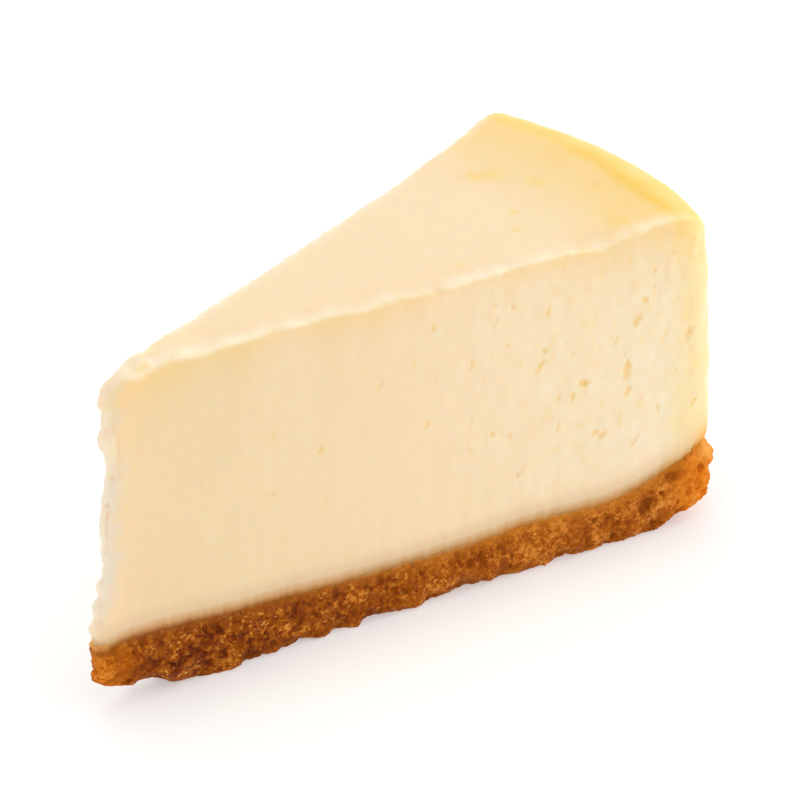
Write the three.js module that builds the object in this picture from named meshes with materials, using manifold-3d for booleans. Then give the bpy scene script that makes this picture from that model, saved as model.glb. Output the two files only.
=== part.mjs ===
import * as THREE from "three";
import { ImprovedNoise } from "three/addons/math/ImprovedNoise.js";
import { mergeVertices } from "three/addons/utils/BufferGeometryUtils.js";
import Module from "manifold-3d";

// A slice of plain baked cheesecake: a cream-cheese filling on a pressed biscuit-crumb base.
// Millimetres, +Z up. The whole round cake is turned on its axis as it was baked, and a slice is
// then cut from it, so +X runs from the slice's tip to the rim of the cake.

// Driving dimensions of the cake.
const TIN_RADIUS = 115; // a 9-inch springform tin
const CAKE_HEIGHT = 60.1; // from the underside to the flat middle of the top
const BASE_MIDDLE = 12.8; // thickness of the base at the middle of the cake
const BASE_THICKNESS = 9.8; // and by the side of the tin
const LAYER_GAP = 0.3; // clearance between the filling and the base

// The crumb base is pressed up against the side of the tin.
const LIP_WIDTH = 19;
const LIP_RISE = 8.6;
const LIP_EDGE = 1; // thickness of the lip at its top
const FOOT_ROUND = 7; // the base's wall curves in at its foot from this height
const FOOT_DEPTH = 4;

// The filling rises at the side of the tin, and draws in from it as it cools.
const WALL_TAPER = 2.6;
const RIM_RISE = 1.5;
const RIM_TILT = 0.04; // the rim is higher on the +Y side
const RIM_SLOPE_WIDTH = 17; // where the top climbs to the crest of the rim
const RIM_ROUND_WIDTH = 5.5; // from the crest out to the wall
const RIM_ROUND_DROP = 9;

// Driving dimensions of the slice.
const SLICE_ANGLE = THREE.MathUtils.degToRad(26.6);
const TIP_RADIUS = 1.6; // the tip is blunt
const TIP_SIDESTEP = 0.9; // and its top is bowed towards -Y
const TIP_REACH = 1; // past the middle of the cake
const TIP_BEND = 30; // the cuts run straight from this far along
const TIP_FLARE = 5.8; // how far the foot of the tip stands in front of its top
const TIP_WAVE = 0.6; // the tip goes in and out this much up its height
const TIP_WAVE_PITCH = 20;
const TIP_ROUND = 4.6; // how far the tip is worn back at the top
const TIP_ROUND_DROP = 5.5;
const CORNER_ROUND = 6; // where the cuts meet the wall of the cake
const BASE_PROUD = 0.4; // the crumbs stand this far out of the cuts
const BIG_CRUMB = 4.4;
const SMALL_CRUMB = 2.5;
const PORES = 37; // opened by the knife in each cut
const TIP_WEAR = 3.4; // how far the underside is worn up at the tip
const TIP_WEAR_REACH = 22;

// The cake's axis stands this far along -X, so that the slice's footprint is centred on the origin.
const AXIS_X = -53.75;

// Fineness of the faceted surfaces.
const FILLING_SEGMENTS = 180; // round the whole cake
const FILLING_STEP = 5; // along a cut
const FILLING_LAYER = 3; // up a cut
const BASE_SEGMENTS = 120;
const BASE_STEP = 1.5;
const BIG_STEP = 18; // along a profile

const HALF_ANGLE = SLICE_ANGLE / 2;
const LIP_TOP = BASE_THICKNESS + LIP_RISE;
const RIM_HEIGHT = CAKE_HEIGHT + RIM_RISE;
const WALL_RADIUS = TIN_RADIUS - LIP_EDGE; // foot of the filling's wall, at the lip's top

const wasm = await Module();
wasm.setup();
const perlin = new ImprovedNoise();

// Smooth noise between about -1 and 1, with lumps of about the given size.
function waves(point, size, seed) {
  return 1.4 * perlin.noise(point.x / size + seed, point.y / size - seed, point.z / size + seed / 2);
}

// Rounded grains packed side by side: 1 at the middle of a grain and 0 in the creases.
function grains(point, size) {
  const cell = point.clone().divideScalar(size);
  const home = cell.clone().floor();
  let nearest = Infinity;
  for (let k = 0; k < 27; k++) {
    const corner = home.clone();
    corner.x += (k % 3) - 1;
    corner.y += (Math.floor(k / 3) % 3) - 1;
    corner.z += Math.floor(k / 9) - 1;
    const x = THREE.MathUtils.seededRandom(corner.x * 7349 + corner.y * 9151 + corner.z * 6571);
    const middle = new THREE.Vector3(x, THREE.MathUtils.seededRandom(), THREE.MathUtils.seededRandom());
    nearest = Math.min(nearest, cell.distanceToSquared(middle.add(corner)));
  }
  return Math.max(0, 1 - nearest);
}

// A closed geometry with one vertex at each place, ready for a relief or a boolean.
function welded(geometry) {
  const bare = new THREE.BufferGeometry().setAttribute("position", geometry.getAttribute("position"));
  bare.setIndex(geometry.index);
  return mergeVertices(bare, 1e-4);
}

// Moves each vertex of a welded geometry by a function of its place and outward normal.
function relief(geometry, move) {
  geometry.computeVertexNormals();
  const places = geometry.getAttribute("position");
  const normals = geometry.getAttribute("normal");
  for (let i = 0; i < places.count; i++) {
    const place = new THREE.Vector3().fromBufferAttribute(places, i);
    move(place, new THREE.Vector3().fromBufferAttribute(normals, i));
    places.setXYZ(i, place.x, place.y, place.z);
  }
  return geometry;
}

function solidOf(geometry) {
  const mesh = new wasm.Mesh({
    numProp: 3,
    vertProperties: new Float32Array(geometry.getAttribute("position").array),
    triVerts: new Uint32Array(geometry.index.array),
  });
  return new wasm.Manifold(mesh);
}

function geometryOf(solid) {
  const { vertProperties, triVerts } = solid.getMesh();
  const geometry = new THREE.BufferGeometry();
  geometry.setAttribute("position", new THREE.BufferAttribute(vertProperties, 3));
  return geometry.setIndex(new THREE.BufferAttribute(triVerts, 1));
}

// Turns a closed profile of (radius, height) points round the cake's axis.
function turned(profile, segments) {
  return welded(new THREE.LatheGeometry(profile, segments).rotateX(Math.PI / 2));
}

// The points of a path, with each of its curves divided at about the given step.
function divided(path, step, least = 1) {
  const points = path.curves.flatMap((curve) => {
    const count = Math.max(least, Math.round(curve.getLength() / step));
    return curve.getSpacedPoints(count).slice(0, -1);
  });
  return [...points, path.curves.at(-1).getPoint(1)];
}

// Where the filling meets the base, from the middle of the cake out to the top of the lip.
function seam(lift) {
  const lipFoot = WALL_RADIUS - LIP_WIDTH;
  const outline = new THREE.Path()
    .moveTo(0, BASE_MIDDLE + lift)
    .quadraticCurveTo(lipFoot / 4, BASE_THICKNESS + lift, lipFoot, BASE_THICKNESS + lift)
    .quadraticCurveTo(WALL_RADIUS - LIP_WIDTH / 2, BASE_THICKNESS + lift, WALL_RADIUS, LIP_TOP + lift);
  return divided(outline, BIG_STEP, 7);
}

// The whole cake's filling, from the middle of its underside round to the middle of its top.
function fillingProfile() {
  const wallTop = WALL_RADIUS - WALL_TAPER;
  const crest = wallTop - RIM_ROUND_WIDTH;
  const flatEdge = crest - RIM_SLOPE_WIDTH;
  const outline = new THREE.Path()
    .moveTo(WALL_RADIUS, LIP_TOP + LAYER_GAP)
    .lineTo(wallTop, RIM_HEIGHT - RIM_ROUND_DROP)
    .bezierCurveTo(wallTop, RIM_HEIGHT - RIM_ROUND_DROP / 3, wallTop - 1, RIM_HEIGHT, crest, RIM_HEIGHT)
    .bezierCurveTo(crest - 5, RIM_HEIGHT, flatEdge + 7, CAKE_HEIGHT, flatEdge, CAKE_HEIGHT)
    .lineTo(0, CAKE_HEIGHT);
  return [...seam(LAYER_GAP), ...divided(outline, BIG_STEP, 6).slice(1)];
}

// The whole cake's base, from the middle of its underside round to the middle of its top. It reaches
// past the tin, as the cutter shapes its wall.
function baseProfile() {
  const outside = TIN_RADIUS + 3;
  const outline = new THREE.Path()
    .moveTo(0, 0)
    .lineTo(TIP_WEAR_REACH, 0)
    .lineTo(outside, 0)
    .lineTo(outside, LIP_TOP)
    .lineTo(WALL_RADIUS, LIP_TOP);
  return [...divided(outline, BIG_STEP, 6).slice(0, -1), ...seam(0).reverse()];
}

// The slice from above, out to the given radius: a blunt tip, two cuts that part evenly from it and
// then run straight, and rounded corners at the wall.
function slicePlan(radius) {
  const onCut = (side, reach) => [reach * Math.cos(HALF_ANGLE), side * reach * Math.sin(HALF_ANGLE)];
  const arcEnd = HALF_ANGLE - CORNER_ROUND / radius;
  const onWall = (angle) => [radius * Math.cos(angle), radius * Math.sin(angle)];
  const [near, far] = [-TIP_SIDESTEP - TIP_RADIUS, -TIP_SIDESTEP + TIP_RADIUS];
  return new THREE.Path()
    .moveTo(-TIP_REACH, near)
    .quadraticCurveTo(TIP_BEND / 4, near, ...onCut(-1, TIP_BEND))
    .lineTo(...onCut(-1, radius - CORNER_ROUND))
    .quadraticCurveTo(...onCut(-1, radius), ...onWall(-arcEnd))
    .absarc(0, 0, radius, -arcEnd, arcEnd)
    .quadraticCurveTo(...onCut(1, radius), ...onCut(1, radius - CORNER_ROUND))
    .lineTo(...onCut(1, TIP_BEND / 2))
    .quadraticCurveTo(TIP_BEND / 8, far, -TIP_REACH, far)
    .absarc(-TIP_REACH, -TIP_SIDESTEP, TIP_RADIUS, Math.PI / 2, 1.5 * Math.PI);
}

// The column of space that the cuts leave standing between two heights, out to the given radius.
function cutter(radius, bottom, top, step, layer) {
  const plan = new THREE.Shape(divided(slicePlan(radius), step, 4));
  const column = new THREE.ExtrudeGeometry(plan, {
    depth: top - bottom,
    steps: Math.round((top - bottom) / layer),
    bevelEnabled: false,
  });
  return welded(column.translate(0, 0, bottom));
}

// What both layers share: the tip flares out at its foot, waves in and out and is worn at the top.
function shapeTip(place) {
  const up = THREE.MathUtils.clamp(place.z / CAKE_HEIGHT, 0, 1);
  const wave = TIP_WAVE * Math.sin((2 * Math.PI * (place.z - CAKE_HEIGHT + 10.5)) / TIP_WAVE_PITCH);
  const worn = THREE.MathUtils.clamp(1 - (CAKE_HEIGHT - place.z) / TIP_ROUND_DROP, 0, 1);
  const rough = 0.5 * waves(new THREE.Vector3(0, place.y, place.z), 4, 3.7);
  const nearTip = Math.exp(-((place.x / 9) ** 2));
  place.y += nearTip * TIP_SIDESTEP * (1 - up);
  place.x -= TIP_FLARE * (1 - up) ** 1.6 * Math.exp(-((place.x / 24) ** 2));
  place.x += nearTip * (TIP_ROUND * (1 - Math.sqrt(1 - worn ** 2)) - wave + rough);
}

// Bubbles that the knife opened in a cut: pits a little taller than wide, more of them by the rim.
function pores(side, seed) {
  THREE.MathUtils.seededRandom(seed);
  const random = (low, high) => low + (high - low) * THREE.MathUtils.seededRandom();
  return Array.from({ length: PORES }, () => {
    const reach = TIN_RADIUS * (0.94 - 0.7 * THREE.MathUtils.seededRandom() ** 1.6);
    const height = random(LIP_TOP + 2, CAKE_HEIGHT - 6);
    const width = random(0.55, 1.1);
    const pit = new THREE.IcosahedronGeometry(1, 0).rotateZ(random(0, 3)).rotateX(random(0, 3));
    pit.scale(width, random(0.5, 0.8), width * random(1.1, 1.9));
    pit.rotateY(random(-0.4, 0.4));
    pit.rotateZ(side * HALF_ANGLE);
    pit.translate(reach * Math.cos(HALF_ANGLE), side * reach * Math.sin(HALF_ANGLE), height);
    return solidOf(welded(pit));
  });
}

function makeFilling() {
  const cake = relief(turned(fillingProfile(), FILLING_SEGMENTS), (place) => {
    const upper = THREE.MathUtils.smoothstep(place.z, LIP_TOP, CAKE_HEIGHT);
    const onRim = THREE.MathUtils.smoothstep(Math.hypot(place.x, place.y), TIN_RADIUS - 26, TIN_RADIUS - 8);
    place.z += upper * (0.35 * waves(place, 21, 1.3) + RIM_TILT * onRim * place.y);
  });
  const [bottom, top] = [BASE_THICKNESS - 2, RIM_HEIGHT + 1];
  const knife = cutter(WALL_RADIUS + 0.3, bottom, top, FILLING_STEP, FILLING_LAYER);
  relief(knife, (place, normal) => {
    const down = THREE.MathUtils.inverseLerp(top, bottom, place.z);
    place.z = THREE.MathUtils.lerp(top, bottom, Math.max(0, down) ** 1.35); // finer near the top
    const taper = 1 - (WALL_TAPER * THREE.MathUtils.smoothstep(place.z, LIP_TOP, CAKE_HEIGHT)) / TIN_RADIUS;
    place.multiply(new THREE.Vector3(taper, taper, 1));
    place.addScaledVector(normal.setZ(0), 0.3 * waves(place, 24, 5.1));
    shapeTip(place);
  });
  const openedBubbles = [...pores(-1, 11), ...pores(1, 29)];
  const slice = solidOf(cake).intersect(solidOf(knife));
  return geometryOf(slice.subtract(wasm.Manifold.union(openedBubbles)));
}

function makeBase() {
  const cake = relief(turned(baseProfile(), BASE_SEGMENTS), (place) => {
    const worn = Math.exp(-(((place.x + TIP_FLARE) / (TIP_WEAR_REACH / 1.5)) ** 2));
    place.z += place.z < 1 ? TIP_WEAR * worn : 0;
  });
  const knife = cutter(TIN_RADIUS, -BASE_STEP, LIP_TOP + BASE_STEP, BASE_STEP, BASE_STEP);
  const bump = (place, size) => 0.45 * size * (grains(place, size) - 0.7);
  relief(knife, (place, normal) => {
    const onWall = THREE.MathUtils.smoothstep(Math.hypot(place.x, place.y), TIN_RADIUS - 14, TIN_RADIUS - 1);
    const foot = Math.max(0, 1 - place.z / FOOT_ROUND) ** 2;
    const chipped = onWall + (1 - onWall) * (0.2 + 0.7 * Math.max(0, waves(place, 9, 8.2)));
    const crumbs = bump(place, BIG_CRUMB) + bump(place, SMALL_CRUMB) + 0.6 * waves(place, 26, 2.4);
    const pressed = 1 - 0.6 * onWall; // the tin leaves the wall smoother than the cuts
    place.addScaledVector(normal.setZ(0), pressed * (BASE_PROUD + crumbs) - FOOT_DEPTH * foot * chipped);
    shapeTip(place);
  });
  return geometryOf(solidOf(cake).intersect(solidOf(knife)));
}

const filling = new THREE.Mesh(
  makeFilling(),
  new THREE.MeshStandardMaterial({ color: 0xf5dcb0, roughness: 0.5, metalness: 0 }),
);
filling.name = "filling";

const crumbBase = new THREE.Mesh(
  makeBase(),
  new THREE.MeshStandardMaterial({ color: 0x99501a, roughness: 0.8, metalness: 0 }),
);
crumbBase.name = "crumb_base";

const slice = new THREE.Group();
slice.add(filling, crumbBase);
slice.position.x = AXIS_X;

export default slice;
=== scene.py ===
# %% [markdown]
# A slice of baked cheesecake, as a lesson in modelling soft, crumbly food.
# The slice is a wedge of smooth cream-cheese filling on a base of pressed biscuit crumbs. Its shape
# comes from how it was made: baked in a round tin, drawn in from the tin's side as it cooled, and cut
# with a knife. We make each layer the same way, as a block cut to the slice's plan, then shape it.

# %% Load the frame
import math
import bpy
import numpy as np
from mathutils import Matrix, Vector, kdtree, noise


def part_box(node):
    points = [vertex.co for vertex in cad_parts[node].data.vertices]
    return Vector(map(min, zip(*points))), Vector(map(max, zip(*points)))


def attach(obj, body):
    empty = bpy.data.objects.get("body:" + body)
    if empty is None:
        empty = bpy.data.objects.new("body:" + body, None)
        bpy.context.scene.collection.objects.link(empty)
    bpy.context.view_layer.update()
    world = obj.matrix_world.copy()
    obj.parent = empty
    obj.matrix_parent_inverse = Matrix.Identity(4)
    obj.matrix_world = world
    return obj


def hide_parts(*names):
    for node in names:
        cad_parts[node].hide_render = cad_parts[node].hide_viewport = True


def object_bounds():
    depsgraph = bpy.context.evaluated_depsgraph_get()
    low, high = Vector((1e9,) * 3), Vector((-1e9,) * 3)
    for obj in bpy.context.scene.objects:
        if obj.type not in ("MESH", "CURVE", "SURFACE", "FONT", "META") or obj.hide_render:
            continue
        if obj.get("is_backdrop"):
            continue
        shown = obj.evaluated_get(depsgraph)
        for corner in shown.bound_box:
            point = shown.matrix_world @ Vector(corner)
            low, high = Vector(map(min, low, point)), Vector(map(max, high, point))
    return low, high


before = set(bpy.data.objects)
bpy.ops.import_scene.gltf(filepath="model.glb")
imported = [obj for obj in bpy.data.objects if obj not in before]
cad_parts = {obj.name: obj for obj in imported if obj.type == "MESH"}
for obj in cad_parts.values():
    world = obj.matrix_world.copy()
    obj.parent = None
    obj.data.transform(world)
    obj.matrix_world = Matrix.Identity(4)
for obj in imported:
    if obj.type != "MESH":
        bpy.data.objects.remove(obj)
cad_box = [list(corner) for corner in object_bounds()]
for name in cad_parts:
    low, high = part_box(name)
    print(name, "is", [round(1000 * side, 1) for side in high - low], "mm")

# %% [markdown]
# First the sizes, in millimetres, as a baker or a caterer would give them. The cake was round, so we
# measure from its axis: "reach" is the distance from that axis, and "height" is from the board. "Near"
# is the side at -y, which the camera sees, and "far" is the side at +y.

# %% The sizes of the cake
MM = 0.001
TIN_RADIUS = 115
CAKE_HEIGHT = 60.1
BASE_MIDDLE = 12.8  # the base's thickness at the axis
BASE_THICKNESS = 9.8  # and where the lip begins
LIP_WIDTH = 19  # the base turns up into its lip over this width
LIP_RISE = 8.6
LIP_EDGE = 1  # the lip's own thickness at its top
LIP_FLAT = 111  # the lip is level from this reach outwards
LIP_TOP = BASE_THICKNESS + LIP_RISE
WALL_RADIUS = TIN_RADIUS - LIP_EDGE
WALL_TAPER = 2.0  # the filling's wall leans in this far at the top
SKIN_RISE = 0.7  # the baked top stands this far above the cake's height
RIM_RISE = 1.0
RIM_CROWN = 0.4  # the rim is higher at the middle of the slice
RIM_TILT = 0.04  # and higher on the far side
RIM_SLOPE_WIDTH = 24  # the top climbs to the crest of the rim over this width
RIM_ROUND_WIDTH = 5.5  # and rounds over from the crest to the wall
RIM_ROUND_DROP = 9
CREST = WALL_RADIUS - RIM_ROUND_WIDTH

# %% [markdown]
# The slice is a narrow wedge of that cake. Its tip wears most when the slice is cut and lifted out: it
# is blunt and bowed, its foot stands in front of its top, and it wavers up its height.

# %% The sizes of the slice
HALF_ANGLE = math.radians(26.6 / 2)
HALF_CHORD = TIN_RADIUS * math.sin(HALF_ANGLE)
CORNER_ROUND = 6  # where the cuts meet the wall
TIP_RADIUS = 1.6
TIP_LENGTH = 9  # the tip's own wear fades out over this length
TIP_BEND = 30  # the cuts run straight from this reach outwards
TIP_REACH = 1  # the tip stands this far past the cake's axis
TIP_SIDESTEP = 0.9  # the tip's top is bowed this far to the near side
TIP_FLARE = 5.8  # its foot stands this far in front of its top
FLARE_LENGTH = 24
TIP_WAVE = 0.6
TIP_WAVE_PITCH = 20
TIP_WAVE_START = 10.5  # the highest wave begins this far below the top
TIP_ROUND = 3.3  # the tip's top is worn back this far
TIP_ROUND_DROP = 5.5  # down to this far below the top
TIP_WEAR = 2.4  # the base's underside is worn up this far at the tip
AXIS_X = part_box("filling")[1].x / MM - WALL_RADIUS  # the cake's axis in the frame
print("the cake's axis stands at x =", round(AXIS_X, 2), "mm")

# %% [markdown]
# Blender works in metres in the frame of the whole part, and our sizes are in millimetres from the
# cake's axis. A few helpers read and write a mesh's points in our own terms, so that every shaping
# step below is plain arithmetic on columns of x, y and z.
#
# Three helpers make shapes from numbers. ease(value, start, end) goes smoothly from 0 to 1, bell(value,
# middle, half_width) is 1 at the middle and dies away on both sides, and waves(points, size, seed) is a
# soft noise between -1 and 1 that changes about once in the size given. So 0.3 * waves(points, 21, 1.3)
# reads as swells 0.3 mm high and 21 mm long. A seed only picks one noise from many.

# %% Read and write points
def points_of(piece):
    flat = np.empty(3 * len(piece.data.vertices), np.float32)
    piece.data.vertices.foreach_get("co", flat)
    return flat.reshape(-1, 3).astype(float) / MM - (AXIS_X, 0, 0)


def put_points(piece, points):
    flat = ((points + (AXIS_X, 0, 0)) * MM).astype(np.float32).ravel()
    piece.data.vertices.foreach_set("co", flat)
    piece.data.update()


def normals_of(piece):
    flat = np.empty(3 * len(piece.data.vertices), np.float32)
    piece.data.vertex_normals.foreach_get("vector", flat)
    return flat.reshape(-1, 3).astype(float)


def reach_of(points):
    return np.hypot(points[:, 0], points[:, 1])


def depth_in_cut(points):
    return points[:, 0] * math.sin(HALF_ANGLE) - np.abs(points[:, 1]) * math.cos(HALF_ANGLE)


# %% Make shapes from numbers
def ease(value, start, end):
    part = np.clip((value - start) / (end - start), 0, 1)
    return part * part * (3 - 2 * part)


def bell(value, middle, half_width):
    return np.exp(-(((value - middle) / half_width) ** 2))


def waves(points, size, seed):
    scaled = points / size + (seed, -seed, seed / 2)
    return np.array([noise.noise(Vector(p)) for p in scaled])


def plan_waves(points, size, seed):
    return waves(points * (1, 1, 0), size, seed)


# %% [markdown]
# The slice's plan is one closed outline: a blunt tip, two cuts that part evenly and then run
# straight, and rounded corners at the wall of the cake. Its curved stretches are quadratic curves,
# which need only a start, a control point and an end.

# %% The plan of the slice
def on_cut(side, reach):
    return reach * math.cos(HALF_ANGLE), side * reach * math.sin(HALF_ANGLE)


def line(start, end, count):
    t = np.linspace(0, 1, count, endpoint=False)[:, None]
    return (1 - t) * start + t * np.array(end)


def bend(start, control, end, count):
    t = np.linspace(0, 1, count, endpoint=False)[:, None]
    return (1 - t) ** 2 * start + 2 * t * (1 - t) * np.array(control) + t ** 2 * np.array(end)


def arc(centre, radius, start, end, count):
    t = np.linspace(start, end, count, endpoint=False)
    return np.stack([centre[0] + radius * np.cos(t), centre[1] + radius * np.sin(t)], 1)


def slice_plan(radius):
    near, far = -TIP_SIDESTEP - TIP_RADIUS, -TIP_SIDESTEP + TIP_RADIUS
    turn = HALF_ANGLE - CORNER_ROUND / radius
    near_end, far_end = arc((0, 0), radius, -turn, turn, 1)[0], arc((0, 0), radius, turn, 0, 1)[0]
    return np.concatenate([
        bend(np.array((-TIP_REACH, near)), (TIP_BEND / 4, near), on_cut(-1, TIP_BEND), 30),
        line(np.array(on_cut(-1, TIP_BEND)), on_cut(-1, radius - CORNER_ROUND), 80),
        bend(np.array(on_cut(-1, radius - CORNER_ROUND)), on_cut(-1, radius), near_end, 12),
        arc((0, 0), radius, -turn, turn, 44),
        bend(far_end, on_cut(1, radius), on_cut(1, radius - CORNER_ROUND), 12),
        line(np.array(on_cut(1, radius - CORNER_ROUND)), on_cut(1, TIP_BEND / 2), 94),
        bend(np.array(on_cut(1, TIP_BEND / 2)), (TIP_BEND / 8, far), (-TIP_REACH, far), 15),
        arc((-TIP_REACH, -TIP_SIDESTEP), TIP_RADIUS, math.pi / 2, 1.5 * math.pi, 10),
    ])


print("the plan has", len(slice_plan(TIN_RADIUS)), "points")

# %% [markdown]
# Each layer starts as a circle whose points are moved onto the plan, filled and extruded upwards.
# Long thin faces can't be sculpted, so a voxel remesh then rebuilds the block from small even faces.
# It also rounds each sharp edge by about one voxel, as a soft cake's edges are.

# %% Cut a block to the plan
BLOCK_VOXEL = 0.8


def remesh(piece, voxel):
    bpy.context.view_layer.objects.active = piece
    modifier = piece.modifiers.new("even faces", "REMESH")
    modifier.mode = "VOXEL"
    modifier.voxel_size = voxel * MM
    bpy.ops.object.modifier_apply(modifier=modifier.name)


def cut_block(name, radius, top):
    plan = slice_plan(radius)
    bpy.ops.object.select_all(action="DESELECT")
    bpy.ops.mesh.primitive_circle_add(vertices=len(plan), radius=radius * MM, fill_type="NGON")
    piece = bpy.context.object
    piece.name = name
    put_points(piece, np.column_stack([plan, np.zeros(len(plan))]))
    bpy.ops.object.mode_set(mode="EDIT")
    bpy.ops.mesh.select_all(action="SELECT")
    bpy.ops.mesh.extrude_region_move(TRANSFORM_OT_translate={"value": (0, 0, top * MM)})
    bpy.ops.mesh.select_all(action="SELECT")
    bpy.ops.mesh.normals_make_consistent(inside=False)
    bpy.ops.object.mode_set(mode="OBJECT")
    remesh(piece, BLOCK_VOXEL)
    return piece


# %% [markdown]
# The block's flat top and bottom now take their true heights. The seam between the two layers is
# nearly level, and turns up at the wall into the lip of the crumb base. The top of the cake climbs
# gently to the crest of its rim, and then rounds over into the wall. Along the near cut the knife
# has pulled the soft top down a little, in some places more than in others.

# %% The height of the seam
LIP_FOOT = WALL_RADIUS - LIP_WIDTH


def seam(reach):
    middle = (BASE_MIDDLE - BASE_THICKNESS) * np.clip(1 - reach / LIP_FOOT, 0, 1) ** 2
    uneven = 0.9 * ease(reach, 21, 2) - 0.75 * bell(reach, 48, 22)
    uneven += 0.75 * bell(reach, 75, 6) + 1.2 * ease(reach, 89, 101)
    uneven += 0.35 * ease(reach, 99, 106)
    lip = LIP_RISE * np.clip((np.minimum(reach, LIP_FLAT) - LIP_FOOT) / LIP_WIDTH, 0, 1) ** 2
    return BASE_THICKNESS + middle + uneven + lip


# %% The height of the top
RIM_CURVE = 2.3  # 2 would round the rim over as a quarter of an ellipse, and more is squarer
WORN_CORNER = 0.8
PULLED_DOWN = 0.85
PULLS = (  # reach, half width and depth of each place where the knife pulled more or less
    (2.5, 3, 1.0), (9, 3, -0.5), (16, 2, 0.4), (34, 2, 0.3), (44, 3.5, 0.7), (58, 8, 0.7), (67, 3, 0.3),
    (74, 3, 0.2), (89.5, 4.5, 1.2), (103, 6, -0.9),
)


def top_of_cake(reach, y):
    crown = RIM_CROWN * (1 - (y / HALF_CHORD) ** 2)
    rise = SKIN_RISE + (RIM_RISE + crown) * ease(reach, CREST - RIM_SLOPE_WIDTH, CREST)
    over = np.clip((reach - CREST) / RIM_ROUND_WIDTH, 0, 1)
    drop = RIM_ROUND_DROP * (1 - (1 - over ** RIM_CURVE) ** (1 / RIM_CURVE))
    tilt = RIM_TILT * y * ease(reach, TIN_RADIUS - 26, TIN_RADIUS - 8)
    worn_corner = WORN_CORNER * ease(reach, 103, 113) * ease(y, -12, -25)
    x = np.sqrt(np.maximum(reach ** 2 - y ** 2, 0))
    from_near_cut = x * math.sin(HALF_ANGLE) + y * math.cos(HALF_ANGLE)
    pulled = PULLED_DOWN + sum(depth * bell(reach, at, width) for at, width, depth in PULLS)
    pull_width = 1.15 + 1.25 * ease(reach, 2, 20)
    pulled *= ease(reach, 0, 5) * bell(from_near_cut.clip(0), 0, pull_width)
    return CAKE_HEIGHT + rise - drop + tilt - worn_corner - pulled


# %% [markdown]
# A slice's tip never stays sharp. It is blunt, its foot stands in front of its top, it goes in and
# out up its height where the knife dragged on it, and its upper end is worn round. Both layers share
# this, so one function does it for both.

# %% Shape the tip
def shape_tip(points):
    up = np.clip(points[:, 2] / CAKE_HEIGHT, 0, 1)
    above_wave = points[:, 2] - CAKE_HEIGHT + TIP_WAVE_START
    wave = TIP_WAVE * np.sin(2 * math.pi * above_wave / TIP_WAVE_PITCH)
    worn = np.clip(1 - (CAKE_HEIGHT - points[:, 2]) / TIP_ROUND_DROP, 0, 1)
    at_tip = bell(points[:, 0], 0, TIP_LENGTH)
    points[:, 1] += at_tip * TIP_SIDESTEP * (1 - up)
    points[:, 0] -= TIP_FLARE * (1 - up) ** 1.6 * bell(points[:, 0], 0, FLARE_LENGTH)
    points[:, 0] += at_tip * (TIP_ROUND * (1 - np.sqrt(1 - worn ** 2)) - wave)
    return points


# %% [markdown]
# The filling is baked cream cheese and egg. Its block is stretched between the seam and the top, and
# its wall leans in, because the filling shrinks away from the tin as it cools. A second, finer
# remesh then evens out the faces that this stretched.

# %% The filling's form
FILLING_VOXEL = 0.6
SINK = 1.6  # the filling sits this far into the crumbs
CORNER_TAPER = 1.0  # the near corner leans in this much more at the top


def shape_filling(piece):
    points = points_of(piece)
    reach = reach_of(points)
    low, high = points[:, 2].min(), points[:, 2].max()
    part = (points[:, 2] - low) / (high - low)
    bottom = seam(reach) - SINK
    top = top_of_cake(reach, points[:, 1]) + 0.3 * plan_waves(points, 21, 1.3)
    top += 0.9 * ease(reach, 22, 8) + 0.8 * bell(reach, 88, 7) * ease(points[:, 1], 4, 18)
    points[:, 2] = bottom + part * (top - bottom)
    taper = 1 - WALL_TAPER * ease(points[:, 2], LIP_TOP, CAKE_HEIGHT) / TIN_RADIUS
    near_corner = ease(points[:, 1], -14, -25) * ease(points[:, 2], CAKE_HEIGHT - 14, CAKE_HEIGHT)
    taper -= CORNER_TAPER * near_corner * ease(reach, 90, 114) / TIN_RADIUS
    points[:, :2] *= taper[:, None]
    put_points(piece, shape_tip(points))
    remesh(piece, FILLING_VOXEL)


filling = cut_block("cream_filling", WALL_RADIUS, CAKE_HEIGHT)
shape_filling(filling)
print("the filling has", len(filling.data.polygons), "faces")

# %% [markdown]
# For the finer shapes we need to know, at each point, how far it is from the things that shape it:
# the cut it lies on, the top, the seam and the wall. We work these out once and keep them in a
# small table of columns. Four of them say how much the surface faces out of a cut, out of the top,
# out of the tip or out of the wall, from 0 to 1. They tell one kind of surface from the next without
# a hard line between the two. The other columns are lengths in millimetres, or directions.

# %% Where each point lies
OUT_OF_CUT = (-math.sin(HALF_ANGLE), math.cos(HALF_ANGLE))


def lie_of(piece):
    points, normals = points_of(piece), normals_of(piece)
    reach = reach_of(points)
    side = np.where(points[:, 1] < 0, -1.0, 1.0)
    level = np.zeros(len(points))
    outward = np.column_stack([OUT_OF_CUT[0] + level, OUT_OF_CUT[1] * side, level])
    out_of_wall = (normals[:, :2] * points[:, :2]).sum(1) / reach
    return {
        "points": points,
        "normals": normals,
        "reach": reach,
        "side": side,
        "outward": outward,
        "on_cut": ease((normals * outward).sum(1), 0.35, 0.85),
        "on_top": ease(normals[:, 2], 0.3, 0.9),
        "at_tip": ease(-normals[:, 0], 0.35, 0.8) * ease(-points[:, 0], -12, -2),
        "on_wall": ease(reach, 103, 110) * ease(out_of_wall, 0.4, 0.9),
        "below_top": top_of_cake(np.minimum(reach, CREST), points[:, 1]) - points[:, 2],
        "above_seam": points[:, 2] - seam(reach),
        "inside_cut": depth_in_cut(points),
    }


# %% [markdown]
# The knife and the fork leave small shapes: pits, a torn tip and a lifted edge. They need smaller
# faces than the broad surfaces do, so the faces there are subdivided once, and only there.

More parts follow.
